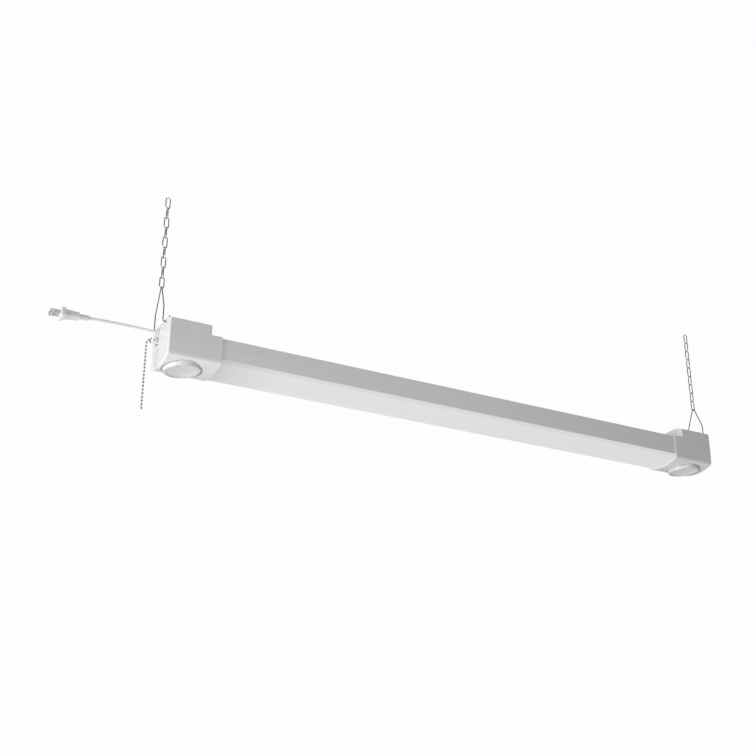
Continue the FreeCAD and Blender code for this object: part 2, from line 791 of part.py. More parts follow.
def spot_place(piece, side, axis=None, angle="0"):
    """Put a piece drawn about the spot's pivot into one of the caps."""
    place = ("%d * %s" % (side, SPOT_X), "0", "%s + spot_pivot_z" % UNDER)
    return put(piece, place, axis, angle)


def spot_ring():
    """The ring that turns in the cap and carries the head's pivot."""
    inner = "(ball_radius + ring_gap)"
    outer = "(ball_radius + ring_gap + ring_wall)"
    flange = "(ball_radius + ring_gap + ring_wall + flange_width)"
    top = "flange_lift + flange_sheet"
    ring = turn([(inner, "-ring_drop"), (outer, "-ring_drop"), (outer, "flange_lift"),
                 (flange, "flange_lift"), (flange, top), (inner, top)])
    return cut(ring, rod(("0", "-2 * ball_radius", "0"), "Y", "pin_dia / 2 + pin_gap", "4 * ball_radius"))


def spot_retainer():
    """The washer that keeps the ring's flange down on the cap's boss, flat at the cap's end wall."""
    inner = "(ball_radius + 2 * ring_gap)"
    outer = "(ball_radius + ring_gap + ring_wall + flange_width + spot_gap + boss_wall)"
    low = "(boss_z - spot_pivot_z)"
    top = "(boss_z - spot_pivot_z + retainer_sheet)"
    washer = turn([(inner, low), (outer, low), (outer, top), (inner, top)])
    beyond = box(("-2 * ball_radius", "-2 * ball_radius", "0"),
                 ("2 * ball_radius - spot_inset + cap_wall + spot_gap", "4 * ball_radius", "2 * boss_z"))
    return cut(washer, beyond)


def spot_head():
    """The head's shell: a band of a ball with a ledge in its mouth and a can behind it."""
    shoulder = "(sqrt(ball_radius * ball_radius - shoulder_lift * shoulder_lift))"
    seat = "(%s + spot_lens_gap)" % LENS_RADIUS
    can = "(%s + can_wall)" % CAN_INNER
    body = turn([
        (SPOT_MOUTH, "-rim_drop"),
        (SPOT_MOUTH + " + rim_width", "-rim_drop"),
        ("ball_radius", "0", "arc"),
        (shoulder, "shoulder_lift"),
        (can, "shoulder_lift"),
        (can, "can_top"),
        ("0", "can_top"),
        ("0", "can_top - can_wall"),
        (CAN_INNER, "can_top - can_wall"),
        (CAN_INNER, SPOT_SEAT),
        (seat, SPOT_SEAT),
        (seat, "-spot_lens_drop"),
    ])
    return cut(body, *spot_pin_rods())


def spot_pin_rods():
    """The two pivot pins across the ball, ending inside the ring's wall."""
    end = "(ball_radius + ring_gap + ring_wall - 0.2)"
    return [
        rod(("0", start, "0"), "Y", "pin_dia / 2", "pin_length")
        for start in ("%s - pin_length" % end, "-" + end)
    ]


def spot_lens():
    """The frosted lens in the head's mouth, hollow towards the room: a shell between two balls."""
    bend = "(({0} * {0} + spot_lens_dish * spot_lens_dish) / (2 * spot_lens_dish))".format(LENS_RADIUS)
    centre = "(spot_lens_dish - spot_lens_drop - %s)" % bend
    disc = rod(("0", "0", "-spot_lens_drop - spot_lens_sheet"), "Z", LENS_RADIUS,
               "2 * (spot_lens_sheet + spot_lens_dish)")
    crown = ball(("0", "0", centre + " + spot_lens_sheet"), bend)
    return cut(meet(disc, crown), ball(("0", "0", centre), bend))


def spot_reflector():
    """A bright cone behind the spot's lens."""
    low = "(%s + spot_lens_sheet)" % SPOT_SEAT
    top = "(can_top - can_wall - cob_board - cob_sheet)"
    wide = "(%s - spot_lens_gap)" % CAN_INNER
    return turn([
        (wide + " - 2 * reflector_wall", low),
        (wide, low),
        ("reflector_throat + reflector_wall", top),
        ("reflector_throat", top),
    ])


def spot_sink():
    """A finned heat sink on the head's back."""
    block = rod(("0", "0", "can_top"), "Z", "sink_radius", "sink_height")
    slots = []
    count = int(value("fin_count"))
    pitch = "((2 * sink_radius - fin_sheet) / (fin_count - 1))"
    for number in range(count - 1):
        y = "-sink_radius + fin_sheet + %d * %s" % (number, pitch)
        slots.append(box(("-2 * sink_radius", y, "can_top + sink_base"),
                         ("4 * sink_radius", pitch + " - fin_sheet", "sink_height")))
    return cut(block, *slots)


def spots():
    """Both spots, with the same tilt in both caps."""
    board_low = "can_top - can_wall - cob_board"
    for name, side in (("left", -1), ("right", 1)):
        keep(name + "_spot_ring", spot_place(spot_ring(), side))
        half_turn = "0" if side < 0 else "180"
        keep(name + "_spot_retainer", spot_place(spot_retainer(), side, (0, 0, 1), half_turn))
        board = rod(("0", "0", board_low), "Z", CAN_INNER + " - 1", "cob_board")
        emitter = rod(("0", "0", board_low + " - cob_sheet"), "Z", "cob_radius", "cob_sheet")
        tilted = {
            "head": spot_head(),
            "pins": group(spot_pin_rods()),
            "lens": spot_lens(),
            "reflector": spot_reflector(),
            "board": fuse(board, emitter),
            "sink": spot_sink(),
        }
        for piece, shape in tilted.items():
            keep("%s_spot_%s" % (name, piece), spot_place(shape, side, (0, 1, 0), "-spot_tilt"))


# ---------------------------------------------------------------- pull switch


def pull_switch():
    """The switch inside the left cap, its nipple, nut and bell mouth."""
    inside = "(%s + cap_wall)" % LEFT
    height = "(%s + switch_z)" % UNDER
    low = (inside, "switch_y - switch_width / 2", height + " - switch_drop")
    case = box(low, ("switch_length", "switch_width", "switch_height"))
    room = box(tuple("%s + switch_wall" % place for place in low),
               ("switch_length - 2 * switch_wall", "switch_width - 2 * switch_wall",
                "switch_height - 2 * switch_wall"))
    shaft_x = inside + " + switch_length / 2"
    shaft_z = height + " - drum_radius"
    bearing = rod((shaft_x, "switch_y - switch_width", shaft_z), "Y", "drum_shaft_dia / 2 + pin_gap",
                  "2 * switch_width")
    mouth = rod((inside + " - 1", "switch_y", height), "X", "nipple_bore", "switch_wall + 2")
    keep("switch_case", cut(case, room, bearing, mouth))
    drum = rod((shaft_x, "switch_y - drum_width / 2", shaft_z), "Y", "drum_radius", "drum_width")
    shaft = rod((shaft_x, "switch_y - switch_width / 2", shaft_z), "Y", "drum_shaft_dia / 2", "switch_width")
    keep("switch_drum", fuse(drum, shaft))
    nipple = turn([("-nipple_reach", "nipple_bore"), ("cap_wall", "nipple_bore"),
                   ("cap_wall", "nipple_radius"), ("-nipple_reach", "nipple_radius")], "X")
    keep("switch_nipple", put(nipple, (LEFT, "switch_y", height)))
    corners = [
        ("nut_radius * cos(%d)" % (60 * step), "nut_radius * sin(%d)" % (60 * step))
        for step in range(6)
    ]
    hexagon = pad("YZ", "panel_depth - nut_height", corners, "nut_height")
    thread = rod(("-2 * nut_height", "0", "0"), "X", "nipple_radius", "4 * nut_height")
    keep("switch_nut", put(cut(hexagon, thread), (LEFT, "switch_y", height)))
    start = "-nipple_reach"
    end = "(-nipple_reach - bell_length)"
    bell = turn([
        (start, "nipple_bore"),
        (start, "nipple_radius - bell_wall / 2"),
        ("-nipple_reach - bell_length * 0.6", "nipple_radius - bell_wall", "arc"),
        (end, "bell_radius"),
        (end, "bell_radius - bell_wall"),
        ("-nipple_reach - bell_length * 0.6", "nipple_bore + bell_wall / 2", "arc"),
    ], "X")
    keep("switch_bell", put(bell, (LEFT, "switch_y", height)))


def bead_chain():
    """The beads over the bell's lip, the swivel bead, and the chain that hangs from it."""
    height = "(%s + switch_z)" % UNDER
    lead_x = "(%s - lead_x_out)" % LEFT
    hang_x = "(%s - bead_x_out)" % LEFT
    apart = "sqrt((bead_x_out - lead_x_out) * (bead_x_out - lead_x_out) + lead_drop * lead_drop)"
    lead = fuse(ball(("0", "0", "0"), "bead_dia / 2"), ball(("0", "0", "-" + apart), "bead_dia / 2"),
                rod(("0", "0", "-" + apart), "Z", "bead_wire / 2", apart))
    slant = math.degrees(math.atan2(value("bead_x_out - lead_x_out"), value("lead_drop")))
    keep("pull_lead", put(lead, (lead_x, "switch_y", height), (0, 1, 0), "%.6f" % slant))
    pivot = "(%s - lead_drop - bead_pitch)" % height
    reach = "bead_pitch - bead_dia / 2 - bead_gap"
    short_wire = rod((hang_x, "switch_y", pivot), "Z", "bead_wire / 2", reach)
    keep("swivel_bead", fuse(ball((hang_x, "switch_y", pivot), "bead_dia / 2"), short_wire))
    pieces = []
    count = int(value("bead_count"))
    for number in range(1, count + 1):
        centre = "%s - %d * bead_pitch" % (pivot, number)
        pieces.append(ball((hang_x, "switch_y", centre), "bead_dia / 2"))
    length = "(bead_pitch * (bead_count + 1) - bead_end_length / 2 - bead_dia / 2 - bead_gap)"
    end_top = "%s - bead_pitch * (bead_count + 1) + bead_end_length / 2" % pivot
    pieces.append(rod((hang_x, "switch_y", end_top), "Z", "bead_wire / 2", length))
    keep("bead_chain", fuse(*pieces))
    end = turn([
        ("0", "0"),
        ("bead_end_dia / 4", "0"),
        ("bead_end_dia / 2", "-bead_end_length / 2", "arc"),
        ("bead_end_dia / 4", "-bead_end_length"),
        ("0", "-bead_end_length"),
    ])
    keep("chain_end_drop", put(end, (hang_x, "switch_y", end_top)))


# ---------------------------------------------------------------- cord and plug


def cord():
    """The bushing in the cap's end and the short cord, its bends worked out from its runs."""
    height = "(%s + cord_z)" % UNDER
    bushing = turn([
        ("-bushing_reach", "bushing_bore"),
        ("-bushing_reach", "cord_dia / 2 + 0.8"),
        ("panel_depth - 1.6", "bushing_radius"),
        ("panel_depth", "bushing_radius"),
        ("panel_depth", "bushing_neck"),
        ("cap_wall + 2", "bushing_neck"),
        ("cap_wall + 2", "bushing_bore"),
    ], "X")
    keep("cord_bushing", put(bushing, (LEFT, "cord_y", height)))
    drop = value(LAMP_DROP)
    corners = [FreeCAD.Vector(x, y, z - drop) for x, y, z in CORD_ROUTE]
    radii = []
    for before, corner, after in zip(corners, corners[1:], corners[2:]):
        run = min((corner - before).Length, (after - corner).Length)
        bend = (corner - before).getAngle(after - corner)
        radii.append(0.45 * run / math.tan(bend / 2))
    solid, length = tube(corners, radii, value("cord_dia / 2"))
    piece = doc.addObject("Part::Feature", "Cord")
    piece.Shape = solid
    keep("cord", piece)
    whole = math.pi * value("cord_dia / 2") ** 2 * length
    print("cord: length %.1f mm, bend radii %s" % (length, [round(radius, 1) for radius in radii]))
    print("cord: volume %.2f, section by length %.2f" % (solid.Volume, whole))


def plug_piece(piece):
    """Put a piece drawn along -X from the cord's end in line with the cord there."""
    before, end = CORD_ROUTE[-2:]
    fall = math.degrees(math.atan2(before[2] - end[2], before[0] - end[0]))
    place = ("%g" % end[0], "%g" % end[1], "%s + %g" % (UNDER, end[2]))
    return put(piece, place, (0, 1, 0), "%.6f" % -fall)


def plug():
    """The two-blade plug: ribbed relief, moulded body with a flange, and its blades."""
    count = int(value("relief_ribs"))
    step = "(relief_length / (2 * relief_ribs))"
    profile = [("-relief_length", "0"), ("0", "0"), ("0", "cord_dia / 2 + 0.7")]
    for number in range(count):
        swell = "(relief_radius - cord_dia / 2 - 1.6) * %d / (relief_ribs - 1)" % number
        taper = "(cord_dia / 2 + 1.6 + %s)" % swell
        near_end = "-%s * %d" % (step, 2 * number + 1)
        far_end = "-%s * %d" % (step, 2 * number + 2)
        inner = "(%s - relief_groove * 0.8)" % taper
        profile += [(near_end + " + %s * 0.3" % step, inner), (near_end, taper), (far_end, taper)]
    keep("plug_relief", plug_piece(turn(profile, "X")))
    body = doc.addObject("PartDesign::Body", "Body")
    neck = "(-relief_length - plug_length)"
    waist = "(-relief_length - plug_length * 0.35)"
    outlines = [
        ("-relief_length", "plug_neck_width", "plug_neck_height"),
        (waist, "plug_neck_width * 1.08", "plug_neck_height * 1.06"),
        (neck, "plug_width * 0.8", "plug_height * 0.8"),
    ]
    sections = [
        sketch_on(body, "YZ", place, rounded(width, height, "plug_round"))
        for place, width, height in outlines
    ]
    loft = body.newObject("PartDesign::AdditiveLoft", "Loft")
    loft.Profile = sections[0]
    loft.Sections = sections[1:]
    body.Tip = loft
    face = "(-relief_length - plug_length - plug_flange)"
    pad("YZ", face, rounded("plug_width", "plug_height", "plug_round"), "plug_flange", body)
    round_edges(body, "1.2", lambda b: b.XLength < 0.01 and b.YLength > 3 and near(b.XMin, neck)
                and b.YMax - b.YMin > value("plug_width * 0.5"))
    keep("plug_body", plug_piece(body))
    for name, side in (("wide_blade", 1), ("narrow_blade", -1)):
        height = name + "_height"
        y = "%d * blade_spacing / 2" % side
        blade = box((face + " - blade_length", y + " - blade_sheet / 2", "-%s / 2" % height),
                    ("blade_length", "blade_sheet", height))
        hole = rod((face + " - blade_length + blade_hole_inset", y + " - blade_sheet", "0"), "Y",
                   "blade_hole_dia / 2", "2 * blade_sheet")
        keep(name, plug_piece(cut(blade, hole)))


def write_nodes():
    """Check every object and every piece, then write each piece to its own file."""
    doc.recompute()
    for thing in doc.Objects:
        if "Invalid" in thing.State or "Error" in thing.State:
            raise RuntimeError("%s (%s) failed: %s" % (thing.Name, thing.Label, thing.State))
    for node in nodes:
        shape = node.Shape
        if shape.isNull() or not shape.isValid() or not shape.Solids:
            raise RuntimeError("%s has no sound shape" % node.Label)
    os.makedirs("parts", exist_ok=True)
    for node in nodes:
        node.Shape.exportStep("parts/%s.step" % node.Label)
    print("%d nodes" % len(nodes))


chains()
caps()
cap_screws()
housing()
lens()
light_boards()
driver()
wires()
spots()
pull_switch()
bead_chain()
cord()
plug()
write_nodes()
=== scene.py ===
# %% [markdown]
# # A hanging shop light
# A white channel with a frosted lens hangs by two chains from the ceiling. Each moulded end cap
# holds a swivelling spot, and the left one a pull switch with a bead chain and a short cord.
# The metal and plastic pieces arrive with their true sizes in the frame. This lesson gives
# them their finishes and makes again, with more detail, what a plain solid shows too simply:
# links, beads, screws, the cord and its strain relief.

# %% Load the frame
import math

import bmesh
import bpy
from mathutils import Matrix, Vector


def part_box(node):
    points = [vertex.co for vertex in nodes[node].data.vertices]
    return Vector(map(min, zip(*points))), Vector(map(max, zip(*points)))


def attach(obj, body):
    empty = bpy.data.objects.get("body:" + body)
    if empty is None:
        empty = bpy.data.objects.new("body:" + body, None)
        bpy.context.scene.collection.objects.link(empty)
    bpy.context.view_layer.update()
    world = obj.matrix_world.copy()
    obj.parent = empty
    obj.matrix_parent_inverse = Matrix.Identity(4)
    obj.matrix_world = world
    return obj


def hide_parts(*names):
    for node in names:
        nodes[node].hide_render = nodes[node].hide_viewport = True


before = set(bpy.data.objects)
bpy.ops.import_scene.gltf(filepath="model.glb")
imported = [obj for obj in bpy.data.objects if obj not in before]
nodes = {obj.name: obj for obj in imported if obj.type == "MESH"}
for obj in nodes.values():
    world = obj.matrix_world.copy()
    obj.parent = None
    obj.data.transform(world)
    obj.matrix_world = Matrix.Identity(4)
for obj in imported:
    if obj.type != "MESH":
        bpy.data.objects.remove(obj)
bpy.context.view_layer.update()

MM = 0.001

# %% [markdown]
# The origin is the ceiling, and the lamp hangs below it. Heights on the lamp are easiest to think
# of from the lower edge of its caps, so one value says where that edge is. The bellies of the caps
# hang a little lower.

# %% Where the lamp hangs
BELLY_DEPTH = 8.5 * MM
LAMP_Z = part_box("left_end_cap")[0].z + BELLY_DEPTH
SIDES = {"left": -1, "right": 1}
print("lower edge of the caps at", round(LAMP_Z, 4))

# %% [markdown]
# ## The camera
# The lamp was photographed from below and from its left, with a lens a little longer than
# normal. The camera's place was worked out from the lamp's own corners, taken at their real size.

# %% Camera
CAMERA_PLACE = Vector((-1.1786, -1.8393, LAMP_Z - 0.8367))
CAMERA_PITCH = math.radians(113.08)
CAMERA_TURN = math.radians(-28.59)
CAMERA_LENS = 58.01


def make_camera():
    """The camera at the photograph's viewing angle."""
    data = bpy.data.cameras.new("camera")
    data.lens = CAMERA_LENS
    data.sensor_width = 36
    data.clip_end = 60
    camera = bpy.data.objects.new("camera", data)
    camera.location = CAMERA_PLACE
    camera.rotation_euler = (CAMERA_PITCH, 0, CAMERA_TURN)
    bpy.context.scene.collection.objects.link(camera)
    bpy.context.scene.camera = camera
    return camera


print("camera at", tuple(round(x, 3) for x in make_camera().location))

# %% [markdown]
# ## Light
# The object is white on white, so the light has to draw it. A pale world fills everything, a large
# soft lamp on the left makes the end faces brightest, one below lights the bellies, and the front
# gets least from two weak lamps, so that the two long faces part from each other. One lamp behind
# and one above light the sides that only other views show.

# %% Light
WORLD_LIGHT = 0.2
BACKGROUND = 0.985


def white_background(tree, strength):
    """A white background of one strength."""
    node = tree.nodes.new("ShaderNodeBackground")
    node.inputs["Color"].default_value = (1, 1, 1, 1)
    node.inputs["Strength"].default_value = strength
    return node.outputs[0]


def make_world():
    """A pale world: the camera sees it almost white, and the object gets less of it."""
    world = bpy.data.worlds.new("studio")
    bpy.context.scene.world = world
    world.use_nodes = True
    tree = world.node_tree
    tree.nodes.clear()
    ray = tree.nodes.new("ShaderNodeLightPath")
    mix = tree.nodes.new("ShaderNodeMixShader")
    out = tree.nodes.new("ShaderNodeOutputWorld")
    tree.links.new(ray.outputs["Is Camera Ray"], mix.inputs[0])
    tree.links.new(white_background(tree, WORLD_LIGHT), mix.inputs[1])
    tree.links.new(white_background(tree, BACKGROUND), mix.inputs[2])
    tree.links.new(mix.outputs[0], out.inputs["Surface"])


def soft_lamp(name, place, aim, size, power):
    """A square area lamp that looks at a point."""
    data = bpy.data.lights.new(name, "AREA")
    data.shape = "SQUARE"
    data.size = size
    data.energy = power
    lamp = bpy.data.objects.new(name, data)
    lamp.location = place
    lamp.rotation_mode = "QUATERNION"
    lamp.rotation_quaternion = (Vector(aim) - Vector(place)).to_track_quat("-Z", "Y")
    bpy.context.scene.collection.objects.link(lamp)
    lamp.visible_camera = False


bpy.context.scene.view_settings.view_transform = "Standard"
make_world()
soft_lamp("left_light", place=(-3.2, -0.3, LAMP_Z - 0.3), aim=(-0.6, 0, LAMP_Z), size=1.6, power=69)
soft_lamp("under_light", place=(-0.3, 0.4, LAMP_Z - 2.0), aim=(0, 0, LAMP_Z), size=2.4, power=21.5)
soft_lamp("back_light", place=(0.2, 2.6, LAMP_Z - 0.7), aim=(0, 0, LAMP_Z), size=2.2, power=3)
soft_lamp("top_light", place=(0, 0.6, 2.2), aim=(0, 0, LAMP_Z), size=2.5, power=36.5)
soft_lamp("front_light", place=(-1.6, -2.0, LAMP_Z + 0.2), aim=(-0.5, 0, LAMP_Z), size=1.0, power=4.8)
soft_lamp("middle_light", place=(-0.1, -1.5, LAMP_Z + 0.1), aim=(-0.1, 0, LAMP_Z), size=0.6, power=3.5)

# %% [markdown]
# The floor is a plain pale sheet, far below the lamp, which only other views show. It isn't part
# of the object.

# %% Floor
FLOOR_DROP = 2.3
FLOOR_HALF = 6.0
FLOOR_SQUARES = 8


def make_floor():
    """A flat sheet of squares."""
    mesh = bpy.data.meshes.new("floor")
    shape = bmesh.new()
    bmesh.ops.create_grid(shape, x_segments=FLOOR_SQUARES, y_segments=FLOOR_SQUARES,
                          size=FLOOR_HALF)
    bmesh.ops.translate(shape, verts=shape.verts, vec=(0, 0, LAMP_Z - FLOOR_DROP))
    shape.to_mesh(mesh)
    shape.free()
    floor = bpy.data.objects.new("floor", mesh)
    bpy.context.scene.collection.objects.link(floor)
    return floor


floor = make_floor()
print("floor at", round(LAMP_Z - FLOOR_DROP, 3))

# %% [markdown]
# ## Finishes
# Every finish starts as one physically based shader. What makes it look real is small: a slow
# drift of the colour, a faint unevenness of the gloss, and a fine relief. All three come from
# noise in the object's own coordinates, so they stay put when a piece moves. The first number of
# drift, uneven and grain is about how many grains go in a metre. The second number of uneven is how
# far the gloss strays, and that of grain is the relief's depth in millimetres.

# %% Helpers for finishes
NOISE_MIDDLE = (0.3, 0.7)
DRIFT_DETAIL = 4.0
GLOSS_DETAIL = 5.0
GRAIN_DETAIL = 3.0
EVEN = (1, 1, 1)


class Finish:
    """A material under construction: a shader, and noises that vary it."""

    def __init__(self, name, colour, roughness, metallic=0.0):
        self.material = bpy.data.materials.new(name)
        self.material.use_nodes = True
        self.material.diffuse_color = (*colour, 1)
        self.tree = self.material.node_tree
        self.shader = self.tree.nodes["Principled BSDF"]
        self.colour = colour
        self.roughness = roughness
        self.set("Base Color", (*colour, 1))
        self.set("Roughness", roughness)
        self.set("Metallic", metallic)
        self.place = self.tree.nodes.new("ShaderNodeTexCoord").outputs["Object"]
        self.relief = None

    def set(self, socket, value):
        self.shader.inputs[socket].default_value = value
        return self

    def link(self, source, target):
        self.tree.links.new(source, target)

    def stretched(self, stretch):
        """The object's coordinates, stretched along its axes."""
        mapping = self.tree.nodes.new("ShaderNodeMapping")
        mapping.inputs["Scale"].default_value = stretch
        self.link(self.place, mapping.inputs["Vector"])
        return mapping.outputs["Vector"]

    def noise(self, scale, detail, stretch):
        """Noise whose grains are about 1/scale metres across."""
        texture = self.tree.nodes.new("ShaderNodeTexNoise")
        texture.inputs["Scale"].default_value = scale
        texture.inputs["Detail"].default_value = detail
        self.link(self.stretched(stretch), texture.inputs["Vector"])
        return texture.outputs["Fac"]

    def spread(self, source, low, high, span=NOISE_MIDDLE):
        """A number whose span, a noise's middle values if none is given, is laid out anew."""
        ramp = self.tree.nodes.new("ShaderNodeMapRange")
        ramp.inputs["From Min"].default_value = span[0]
        ramp.inputs["From Max"].default_value = span[1]
        ramp.inputs["To Min"].default_value = low
        ramp.inputs["To Max"].default_value = high
        self.link(source, ramp.inputs["Value"])
        return ramp.outputs["Result"]

    def drift(self, scale, other, stretch=EVEN):
        """The colour wanders between its own and another one."""
        mix = self.tree.nodes.new("ShaderNodeMix")
        mix.data_type = "RGBA"
        self.link(self.spread(self.noise(scale, DRIFT_DETAIL, stretch), 0, 1), mix.inputs["Factor"])
        mix.inputs["A"].default_value = (*self.colour, 1)
        mix.inputs["B"].default_value = (*other, 1)
        self.link(mix.outputs["Result"], self.shader.inputs["Base Color"])
        return self

    def uneven(self, scale, amount, stretch=EVEN):
        """The gloss wanders about its own value."""
        low, high = self.roughness - amount, self.roughness + amount
        gloss = self.spread(self.noise(scale, GLOSS_DETAIL, stretch), low, high)
        self.link(gloss, self.shader.inputs["Roughness"])
        return self

    def painted_glow(self, full, share, span):
        """A painted glow that starts at a share of its strength and grows along +X, fast at first; its
        weak end is painted shade.
        """
        along = self.tree.nodes.new("ShaderNodeSeparateXYZ")
        self.link(self.place, along.inputs[0])
        root = self.tree.nodes.new("ShaderNodeMath")
        root.operation = "SQRT"
        self.link(self.spread(along.outputs["X"], 0, 1, span), root.inputs[0])
        self.set("Emission Color", (1, 1, 1, 1))
        self.link(self.spread(root.outputs[0], full * share, full, (0, 1)),
                  self.shader.inputs["Emission Strength"])
        return self

    def grain(self, scale, depth, stretch=EVEN):
        """Fine relief, its depth in millimetres, laid over any relief that is there."""
        bump = self.tree.nodes.new("ShaderNodeBump")
        bump.inputs["Distance"].default_value = depth * MM
        self.link(self.noise(scale, GRAIN_DETAIL, stretch), bump.inputs["Height"])
        if self.relief:
            self.link(self.relief, bump.inputs["Normal"])
        self.relief = bump.outputs["Normal"]
        self.link(self.relief, self.shader.inputs["Normal"])
        return self


# %% [markdown]
# The white pieces are three different whites. The caps are moulded plastic, with a satin skin and
# the faint swirl of the mould. The channel is sheet steel under baked enamel, whose surface is a
# fine orange peel. The lenses are frosted plastic, and most of their brightness is a painted glow,
# a low emission in place of the light that reaches them; only the rest is shaded. The long lens's
# painted glow is weaker near the left cap: painted shade for the shadow of that cap, which stands
# proud of the lens and keeps the side light off.

# %% White finishes
LENS_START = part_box("lens_diffuser")[0].x
PAINTED_SHADE_SPAN = 0.13


def cap_plastic():
    finish = Finish("cap_plastic", (0.83, 0.83, 0.83), 0.34)
    finish.set("IOR", 1.49)
    return finish.drift(14, (0.80, 0.80, 0.805)).uneven(60, 0.05).grain(900, 0.02).grain(9, 0.25).material


def channel_enamel():
    finish = Finish("channel_enamel", (0.84, 0.84, 0.84), 0.3)
    finish.set("Coat Weight", 0.25).set("Coat Roughness", 0.2)
    return finish.drift(6, (0.81, 0.812, 0.815), (0.3, 1, 1)).uneven(35, 0.05).grain(700, 0.03).material


def frosted_lens_painted_glow():
    finish = Finish("frosted_lens_painted_glow", (0.16, 0.16, 0.16), 0.5)
    # Painted glow along the lens, weaker near the left cap as painted shade for that cap's shadow.
    finish.painted_glow(full=0.59, share=0.58, span=(LENS_START, LENS_START + PAINTED_SHADE_SPAN))
    return finish.drift(8, (0.15, 0.15, 0.15), (0.4, 1, 1)).uneven(120, 0.04).grain(1600, 0.015).material


def frosted_spot_painted_glow():
    finish = Finish("frosted_spot_painted_glow", (0.6, 0.6, 0.6), 0.22)
    # The emission is a painted glow that stands in for light falling on the lens.
    finish.set("Emission Color", (1, 1, 1, 1)).set("Emission Strength", 0.16)
    return finish.drift(60, (0.58, 0.58, 0.58)).uneven(200, 0.03).grain(2000, 0.005).material


def spot_enamel():
    finish = Finish("spot_enamel", (0.8, 0.8, 0.8), 0.3)
    return finish.drift(40, (0.77, 0.77, 0.775)).uneven(90, 0.05).grain(1200, 0.015).material


def cord_jacket():
    finish = Finish("cord_jacket", (0.86, 0.86, 0.86), 0.5)
    return finish.drift(30, (0.83, 0.83, 0.83)).uneven(120, 0.06).grain(1500, 0.02).material


def plug_plastic():
    finish = Finish("plug_plastic", (0.85, 0.85, 0.85), 0.48)
    return finish.drift(50, (0.82, 0.82, 0.82)).uneven(150, 0.06).grain(1100, 0.02).material


# %% [markdown]
# The bright pieces are steel wire with nickel on it, a neutral grey that is darker than chrome.
# A tumbled chain has tiny dents that break its reflections up. The turned pieces of the switch are
# polished, and so are nearly white, and the hooks are bent from duller, darker wire. The rest is
# zinc-plated steel, aluminium and sheet, most of it inside.

# %% Metal finishes
def nickel():
    finish = Finish("nickel", (0.66, 0.66, 0.66), 0.2, 1.0)
    return finish.drift(160, (0.58, 0.58, 0.58)).uneven(240, 0.07).grain(420, 0.05).material


def hook_wire():
    finish = Finish("hook_wire", (0.2, 0.2, 0.2), 0.42, 0.85)
    return finish.drift(120, (0.16, 0.16, 0.16)).uneven(200, 0.06).grain(420, 0.01).material


def polished_nickel():
    finish = Finish("polished_nickel", (0.9, 0.9, 0.9), 0.22, 1.0)
    return finish.drift(120, (0.86, 0.86, 0.86)).uneven(240, 0.05).grain(420, 0.02).material


def bead_nickel():
    finish = Finish("bead_nickel", (0.38, 0.38, 0.38), 0.22, 1.0)
    return finish.drift(300, (0.3, 0.3, 0.3)).uneven(400, 0.06).grain(700, 0.03).material


def zinc_steel():
    finish = Finish("zinc_steel", (0.62, 0.63, 0.64), 0.35, 1.0)
    return finish.drift(120, (0.5, 0.51, 0.54)).uneven(200, 0.1).grain(500, 0.04).material


def plain_aluminium():
    finish = Finish("plain_aluminium", (0.78, 0.78, 0.79), 0.38, 1.0)
    finish.drift(20, (0.7, 0.7, 0.71), (0.1, 1, 1)).uneven(60, 0.08, (0.05, 1, 1))
    return finish.grain(900, 0.02, (0.04, 1, 1)).material


def bright_reflector():
    finish = Finish("bright_reflector", (0.88, 0.88, 0.88), 0.12, 1.0)
    return finish.drift(60, (0.82, 0.82, 0.83)).uneven(120, 0.05).grain(260, 0.2).material


def blade_metal():
    finish = Finish("blade_metal", (0.8, 0.8, 0.79), 0.34, 0.5)
    return finish.drift(90, (0.75, 0.75, 0.74)).uneven(160, 0.06).grain(600, 0.02, (0.2, 1, 1)).material


def grey_sheet():
    finish = Finish("grey_sheet", (0.52, 0.52, 0.53), 0.42, 0.6)
    return finish.drift(25, (0.46, 0.46, 0.47)).uneven(60, 0.08).grain(500, 0.04).material


# %% [markdown]
# Inside the lamp are the parts that make light: boards with small yellow chips, the driver with its
# green board, and the black and copper pieces on it.

# %% Inner finishes
def board_white():
    finish = Finish("board_white", (0.82, 0.84, 0.82), 0.4)
    return finish.drift(60, (0.78, 0.8, 0.78)).uneven(100, 0.05).grain(900, 0.02).material


def board_green():
    finish = Finish("board_green", (0.03, 0.19, 0.08), 0.35)
    return finish.drift(220, (0.02, 0.13, 0.05)).uneven(150, 0.06).grain(500, 0.05).material


def chip_yellow():
    finish = Finish("chip_yellow", (0.86, 0.72, 0.2), 0.3)
    return finish.drift(500, (0.8, 0.66, 0.16)).uneven(600, 0.05).grain(2500, 0.02).material


def part_black():
    finish = Finish("part_black", (0.035, 0.035, 0.037), 0.45)
    return finish.drift(80, (0.06, 0.06, 0.062)).uneven(160, 0.08).grain(900, 0.04).material


def wire_black():
    finish = Finish("wire_black", (0.04, 0.04, 0.042), 0.5)
    return finish.drift(70, (0.07, 0.07, 0.07)).uneven(150, 0.07).grain(1200, 0.03).material


def connector_nylon():
    finish = Finish("connector_nylon", (0.76, 0.75, 0.7), 0.45)
    return finish.drift(90, (0.7, 0.69, 0.64)).uneven(150, 0.06).grain(900, 0.03).material


def copper_winding():
    finish = Finish("copper_winding", (0.6, 0.3, 0.16), 0.3, 0.9)
    return finish.drift(200, (0.45, 0.2, 0.1)).uneven(200, 0.08).grain(300, 0.1, (0.2, 0.2, 3)).material


def floor_paint():
    finish = Finish("floor_paint", (0.86, 0.86, 0.86), 0.7)
    return finish.drift(0.5, (0.84, 0.84, 0.84)).uneven(3, 0.05).grain(30, 0.2).material


